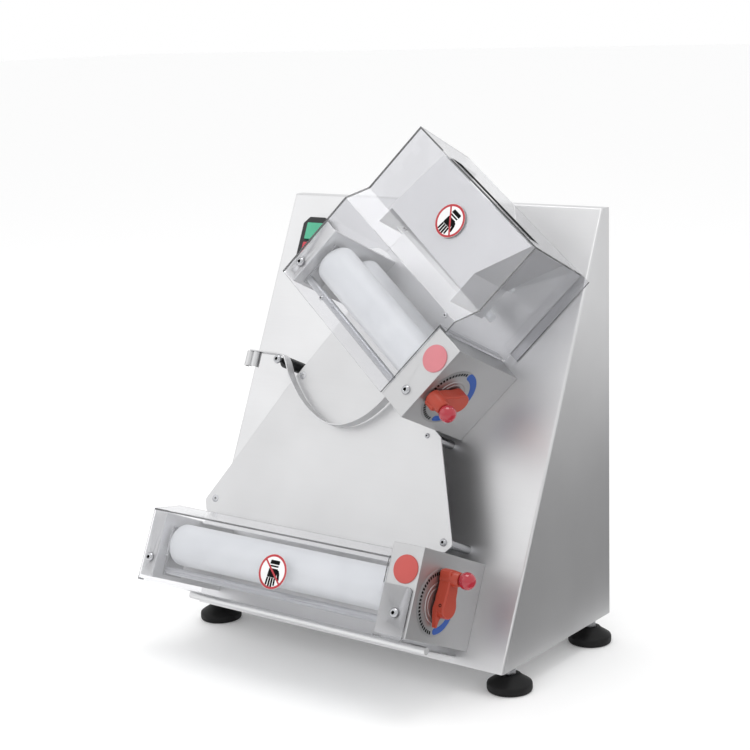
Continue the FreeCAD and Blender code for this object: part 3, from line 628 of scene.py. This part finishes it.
# square head, waist and round hub
handle = ([(28, -8.4), (34, -7.2), (36.2, -5), (36.6, 0), (36.2, 8.2), (34.2, 10.2),
           (31, 10.4), (25, 7.6), (14, 7.8), (8, 9.0)]
          + arc_points(hub_centre, hub_radius, 66, 226, 18)
          + arc_points(hub_centre, hub_radius, 240, 296, 6)
          + [(9, -11.8), (17, -11.2), (23, -9.8)])
claw = [(-3, 9.3), (-8, 8.6), (-16, 5.8), (-24.4, 2.9), (-25.6, 2.0), (-25.2, 1.2),
        (-21, 0.4), (-16.5, -1.0), (-12.5, -4.5), (-10, -9), (-3, -12)]
neck_profile = [(0, 2.4), (9.2, 2.4), (9.1, 12), (8.4, 17), (7.6, 22.6), (6.9, 23.6),
                (0, 23.6)]
neck_along = 28.8
grub_profile = [(0, 9.0), (1.8, 9.0), (1.8, 9.5), (1.2, 9.6), (0.9, 9.3), (0, 9.3)]
ball_radius = 9.5
ball_out = 31.3
ball_profile = ([(0, ball_out - 8.2)]
                + [(ball_radius * math.sin(math.radians(t)),
                    ball_out - ball_radius * math.cos(math.radians(t)))
                   for t in range(30, 177, 6)]
                + [(0, ball_out + ball_radius)])
for name in ("lower", "upper"):
    spindle = (lifted(unit[name], 0, *dial_centre)
               @ Matrix.Rotation(math.radians(lever_turned[name]), 4, "X"))
    body = joined(name + "_lever_moulded", [cut_out([handle], 2.0, 16.0)], spindle, orange_nylon)
    soft_edges(body, 1.8, 4, 45)
    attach(body, name + "_lever_set")
    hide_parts(name + "_lever")
    pointer = joined(name + "_lever_pointer",
                     [cut_out([claw], 2.0, 7.5),
                      turned(neck_profile, 48, "X", (0, neck_along, 0))], spindle, orange_nylon)
    soft_edges(pointer, 0.8, 3, 45)
    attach(pointer, name + "_lever_set")
    grub = new_piece(name + "_lever_grub_screw", turned(grub_profile, 24, at=(11.0, -1.6, 0)),
                     spindle, black_print)
    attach(grub, name + "_lever_set")
    ball = new_piece(name + "_ball_polished", turned(ball_profile, 64, "X", (0, 29, 0)),
                     spindle, red_ball, 35)
    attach(ball, name + "_lever_set")
    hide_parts(name + "_ball_knob")

# ------------------------------------------------------------------ caps
# Round coral caps of moulded polyamide, flat with a rounded rim, one on the front face of
# each adjuster box. The upper one has paled.

# moulded polyamide, unpolished: an even coral with hardly any gloss
coral = {"lower": moulded_plastic("coral_polyamide_moulded", "#BC504B", 0.5, 0.8, 0.00002),
         "upper": moulded_plastic("faded_coral_polyamide_moulded", "#D27F86", 0.5, 0.8, 0.00002)}
cap_profile = [(0, 122.4), (15.2, 122.4), (15.2, 123.3), (14.85, 123.9), (14.2, 124.1),
               (0, 124.1)]
for name in ("lower", "upper"):
    cap = new_piece(name + "_cap_moulded", turned(cap_profile, 72, at=(-17.5, 22, 0)),
                    unit[name], coral[name], 30)
    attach(cap, "machine")
    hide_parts(name + "_red_cap")

# ------------------------------------------------------------------ chute
# Flat apron laser-cut from satin stainless sheet, 1.5 mm thick, that guides the dough from
# the upper rollers to the lower ones. It stands on four spacers and is cut back round the
# upper unit.
front_out = Vector(joints["lower_gap_slide"]["axis"])
front = frame_from(unit["lower"] @ Vector((-170, -63.7, 0)), Vector((1, 0, 0)), front_out)
# satin-finished sheet: softer than the body, with hardly any streaks
satin = brushed_stainless("stainless_sheet_satin", "#D0D0D1", (0, math.radians(20), 0), 0.42,
                          0.04, 0.04)


def corner_rounded(outline, radii, steps=6):
    """Outline with its corners replaced by arcs of the given radii."""
    points = []
    count = len(outline)
    for i, (corner, radius) in enumerate(zip(outline, radii)):
        corner = Vector(corner)
        if not radius:
            points.append(tuple(corner))
            continue
        before = (Vector(outline[i - 1]) - corner).normalized()
        after = (Vector(outline[(i + 1) % count]) - corner).normalized()
        half = before.angle(after) / 2
        run = radius / math.tan(half)
        centre = corner + (before + after).normalized() * radius / math.sin(half)
        first = corner + before * run - centre
        last = corner + after * run - centre
        turn = first.angle_signed(last)
        for step in range(steps + 1):
            spin = Matrix.Rotation(-turn * step / steps, 2)
            points.append(tuple(centre + spin @ first))
    return points


def from_upper(along, up):
    """A point of the upper unit's frame, in the chute's own plane."""
    spot = front.inverted() @ (unit["upper"] @ Vector((along, up, 0)))
    return spot.x, spot.y


# each corner with its radius, anticlockwise from the lower left
chute_corners = [((-197, 106.7), 6), ((126, 106.7), 0), ((126, 113.5), 0), ((147, 113.5), 3),
                 ((155, 122), 5), ((110, 236.7), 0), (from_upper(-3, -49), 0),
                 (from_upper(-44, -49), 0), (from_upper(-44, -34), 0),
                 (from_upper(-201, -34), 0), (from_upper(-201, -49), 0), ((-118.8, 270), 0),
                 ((-177, 166), 12), ((-203, 121), 6)]
chute_outline = corner_rounded([corner for corner, radius in chute_corners],
                               [radius for corner, radius in chute_corners])
chute_back, chute_face = 48.5, 50.0
chute = new_piece("chute_sheet", cut_out([chute_outline], chute_back, chute_face, "XY"), front,
                  satin)
soft_edges(chute, 0.3, 2)
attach(chute, "machine")
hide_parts("chute_plate")
finish_node("chute_spacers", polished, 0.4)

# Button heads hold it on the right, and flush heads, which hardly show, on the left.
chute_heads = screw_heads("chute_screw_heads",
                          [button_head(lifted(front, 143, 124, chute_face), 4.4),
                           button_head(lifted(front, 92, 236, chute_face), 3.0)])
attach(chute_heads, "machine")
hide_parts("chute_screws")
flush_head = [(0, -0.2), (4.6, -0.2), (4.6, 0.15), (4.4, 0.25), (1.6, 0.25), (1.5, 0.0), (0, 0.0)]
flush = joined("chute_flush_screws", [turned(flush_head, 32, at=(-188, 124, chute_face)),
                                      turned(flush_head, 32, at=(-100, 285, chute_face))],
               front, polished, 35)
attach(flush, "machine")

# ------------------------------------------------------------------ arm post
# Black plastic post turned with a thin pin at its end, standing out of the front to the left
# of the chute. A button-head screw keeps the arm on it.
arm_pivot = (-129.7, 297.7)
post_profile = [(0, 0), (7, 0), (7, 51.6), (6.6, 52.4), (3, 52.4), (3, 66.5), (0, 66.5)]
post = new_piece("arm_post_turned", turned(post_profile, 48, at=arm_pivot + (0,)), front,
                 black_plastic, 35)
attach(post, "machine")
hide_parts("arm_post")
post_head = screw_heads("arm_post_screw", [button_head(lifted(front, *arm_pivot, 66.3), 5.4)])
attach(post_head, "machine")

# ------------------------------------------------------------------ balance arm
# One strip of satin stainless, 13 mm wide, bent on edge into a long hook that reaches under
# the upper rollers. It turns on the post and swings in front of the chute.
arm = [(-46, 7.2), (-26, 7.2), (-6, 7.2), (5, 5.5), (12, -2), (22, -18), (34, -31), (48, -44),
       (66, -56), (85, -64.5), (100, -66.5), (118, -64), (138, -54), (154, -40), (166, -25),
       (176, -11)]
arm_thick = 1.6
arm_low, arm_high = 53, 66
pivot = lifted(front, *arm_pivot, 0)


def smooth_path(points, pieces=8):
    """Catmull-Rom curve through the points."""
    padded = [points[0]] + list(points) + [points[-1]]
    curve = []
    for a, b, c, d in zip(padded, padded[1:], padded[2:], padded[3:]):
        for step in range(pieces):
            t = step / pieces
            curve.append(tuple(0.5 * ((2 * q) + (r - p) * t + (2 * p - 5 * q + 4 * r - w) * t * t
                                      + (3 * q - p - 3 * r + w) * t ** 3)
                               for p, q, r, w in zip(a, b, c, d)))
    curve.append(tuple(points[-1]))
    return curve


def bent_strip(path, thick, low, high):
    """Sheet strip standing on edge along a path in the local XY plane."""
    sides = ([], [])
    for i, here in enumerate(path):
        ahead = Vector(path[min(i + 1, len(path) - 1)]) - Vector(path[max(i - 1, 0)])
        out = Vector((-ahead.y, ahead.x)).normalized() * thick / 2
        sides[0].append(tuple(Vector(here) + out))
        sides[1].append(tuple(Vector(here) - out))
    return cut_out([sides[0] + sides[1][::-1]], low, high, "XY")


arm_strip = new_piece("balance_arm_bent", bent_strip(smooth_path(arm), arm_thick, arm_low, arm_high),
                      pivot, satin)
soft_edges(arm_strip, 0.3, 2)
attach(arm_strip, "arm_set")
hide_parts("balance_arm")

# ------------------------------------------------------------------ counterweight
# The short end of the arm carries a weight of the same satin sheet, rolled into two tubes
# side by side.
tube_radius = 4.6
rolls = (arc_points((-38.0, 60.0), tube_radius, -60, 180, 20)
         + arc_points((-47.4, 60.0), tube_radius, 0, 236, 20)[1:])
on_side = Matrix(((1, 0, 0, 0), (0, 0, -1, 0), (0, 1, 0, 0), (0, 0, 0, 1)))
weight = new_piece("counterweight_rolled", bent_strip(rolls, 1.3, -6.4, 11.6), pivot @ on_side,
                   satin)
soft_edges(weight, 0.3, 2)
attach(weight, "arm_set")
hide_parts("counterweight")

# ------------------------------------------------------------------ intake, shelf and funnel
# Folded from thin satin sheet: a lip that leads the dough into the lower rollers, the shelf
# with a rolled edge below them, and the feed funnel above, on rods of turned acetal.

# satin sheet painted brighter than the chute: painted light for faces that look up to the lamp above
shelf_steel_painted_light = brushed_stainless("stainless_shelf_satin_painted_light", "#E2E2E3", along_width, 0.42, 0.04, 0.04)
for part in ("intake_plate", "exit_shelf", "funnel"):
    finish_node(part, shelf_steel_painted_light, 0.3)
finish_node("funnel_rods", white_acetal, 0.4)

# ------------------------------------------------------------------ guard and hood
# Guard and hood are bent from 2 mm clear polycarbonate on a hot wire, so they keep sharp
# folds and polished edges.

# clear sheet: mirror gloss and dark edges, under a thin uneven veil of wipe marks
clear, tree, output = new_material("clear_polycarbonate_bent")
glass = add_node(tree, "ShaderNodeBsdfPrincipled",
                 {"Base Color": linear("#F2F2F4"), "Roughness": 0.02, "IOR": 1.5,
                  "Transmission Weight": 1.0})
open_air = add_node(tree, "ShaderNodeBsdfTransparent", {"Color": linear("#F0F1F2")})
# soft light and shadows pass straight through, so that what lies behind stays bright
light = add_node(tree, "ShaderNodeLightPath")
either = add_node(tree, "ShaderNodeMath", {0: light.outputs["Is Shadow Ray"],
                                           1: light.outputs["Is Diffuse Ray"]},
                  operation="MAXIMUM")
mixed = add_node(tree, "ShaderNodeMixShader", {0: either.outputs[0], 1: glass.outputs[0],
                                               2: open_air.outputs[0]})
wipe_mm = 1000 / 12
at = add_node(tree, "ShaderNodeTexCoord").outputs["Object"]
wipes = add_node(tree, "ShaderNodeTexNoise", {"Vector": at, "Scale": 1000 / wipe_mm, "Detail": 4.0})
haze = add_node(tree, "ShaderNodeMapRange", {0: wipes.outputs["Fac"], 1: 0.3, 2: 0.7, 3: 0.02,
                                             4: 0.06})
film = add_node(tree, "ShaderNodeBsdfDiffuse", {"Color": linear("#EDEDEF")})
hazed = add_node(tree, "ShaderNodeMixShader", {0: haze.outputs[0], 1: mixed.outputs[0],
                                               2: film.outputs[0]})
tree.links.new(hazed.outputs[0], output.inputs["Surface"])
finish_node("lower_guard", clear, 0)
finish_node("upper_hood", clear, 0)

# Four M6 heads hold them to the boxes and brackets, and three M3 heads sit on the hood.
guard_heads = screw_heads("guard_screw_heads",
                          [button_head(lifted(unit["lower"], -18.5, -24.5, 124.5), 5.45),
                           button_head(lifted(unit["lower"], -369.5, -24.5, 124.5), 5.45),
                           button_head(lifted(unit["upper"], -18.5, -24.5, 122.5), 5.45),
                           button_head(lifted(unit["upper"], -243.5, -24.5, 124.5), 5.45)])
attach(guard_heads, "machine")
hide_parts("guard_screws")
small_heads = screw_heads("hood_screw_heads",
                          [button_head(lifted(unit["upper"], -176.6, 86.4, 102.6), 2.8),
                           button_head(lifted(unit["upper"], -43.5, 61.5, 124.4), 2.8),
                           button_head(lifted(unit["upper"], -186.3, -32.7, 124.4), 2.8)])
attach(small_heads, "machine")

# ------------------------------------------------------------------ slot strip
# A thin strip of black plastic round the feed slot in the hood's top, which draws the dark line
# along the slot.
hood_top = 179.5
slot_frame = (lifted(unit["upper"], 0, hood_top, 0)
              @ Matrix.Rotation(math.radians(-90), 4, "X"))


def slot_rim(left, right_end, low, high, wide):
    """Rounded rectangular rim, as short four-sided plates laid end to end."""
    outer = corner_rounded([(left, low), (right_end, low), (right_end, high), (left, high)],
                           (4, 4, 4, 4))
    inner = corner_rounded([(left + wide, low + wide), (right_end - wide, low + wide),
                            (right_end - wide, high - wide), (left + wide, high - wide)],
                           (3, 3, 3, 3))
    count = len(outer)
    return [[outer[i], outer[(i + 1) % count], inner[(i + 1) % count], inner[i]]
            for i in range(count)]


rim = new_piece("hood_slot_dark_strip", cut_out(slot_rim(-196, -45, -100, -78, 1.6), -2.1, 0.0, "XY"),
                slot_frame, black_plastic, 0)
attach(rim, "machine")

# ------------------------------------------------------------------ signs
# Round stickers of white vinyl, screen printed in black and red, on the guard and on the
# hood: no hands past this cover.

# smooth vinyl: plain white with a slight gloss
white_vinyl = moulded_plastic("white_vinyl_printed", "#F2F2F2", 0.45, 1.0, 0.00001)
# ink printed on the vinyl: the same gloss in a deep red
red_print = moulded_plastic("red_screen_print", "#B8323A", 0.45, 1.0, 0.00001)


def ring_segments(outer, inner, steps=48):
    """Flat ring as short four-sided plates laid end to end."""
    plates = []
    for i in range(steps):
        a, b = 2 * math.pi * i / steps, 2 * math.pi * (i + 1) / steps
        plates.append([(outer * math.cos(a), outer * math.sin(a)),
                       (outer * math.cos(b), outer * math.sin(b)),
                       (inner * math.cos(b), inner * math.sin(b)),
                       (inner * math.cos(a), inner * math.sin(a))])
    return plates


def finger(x, y, length, width, lean):
    """Round-ended strip pointing down from (x, y)."""
    side = width / 2
    root = [(x - side, y), (x + side, y)]
    return root + arc_points((x + lean, y - length), side, 0, -180, 6)


palm = corner_rounded([(-5.6, -3.2), (5.2, -3.2), (5.8, 5.2), (-4.8, 5.2)], (1, 1, 1, 1))
fingers = [finger(-4.5, -3.4, 6.4, 2.1, -0.6), finger(-1.7, -3.4, 8.6, 2.2, -0.3),
           finger(1.1, -3.4, 8.2, 2.2, 0.0), finger(3.9, -3.4, 6.2, 2.0, 0.2)]
thumb = [(5.4, 4.2), (5.6, -0.5), (7.2, -5.4), (8.8, -5.6), (9.2, -4.2), (8.4, 1.0), (7.0, 4.0)]
wrist = [(-4.4, 6.6), (5.4, 6.6), (5.6, 8.2), (-4.2, 8.2)]
cuff = corner_rounded([(-5.0, 9.2), (6.0, 9.2), (6.4, 13.0), (-4.4, 13.0)], (0, 0, 1, 1))
hand_scale = 1.18
hand_drop = 2.2
hand = [[(hand_scale * x, hand_scale * (y - hand_drop)) for x, y in outline]
        for outline in [palm] + fingers + [thumb, wrist, cuff]]
disc_radius = 19.4
sign_spots = {"lower": (-187.5, -10.5, 124.5), "upper": (-136.5, 131.0, 104.0)}
for name in ("lower", "upper"):
    spot = lifted(unit[name], *sign_spots[name])
    disc = new_piece(name + "_sign_disc",
                     turned([(0, 0), (disc_radius, 0), (disc_radius, 0.12), (0, 0.12)], 72), spot,
                     white_vinyl, 30)
    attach(disc, "machine")
    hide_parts(name + "_sign")
    black = new_piece(name + "_sign_hand", cut_out(hand, 0.12, 0.16, "XY"), spot, black_print, 0)
    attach(black, "machine")
    bar = cut_out([[(-17, -1.1), (17, -1.1), (17, 1.1), (-17, 1.1)]], 0.16, 0.2, "XY")
    bar.transform(Matrix.Rotation(math.radians(-45), 4, "Z"))
    red = joined(name + "_sign_ring", [cut_out(ring_segments(19.2, 16.6), 0.12, 0.2, "XY"), bar],
                 spot, red_print, 0)
    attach(red, "machine")
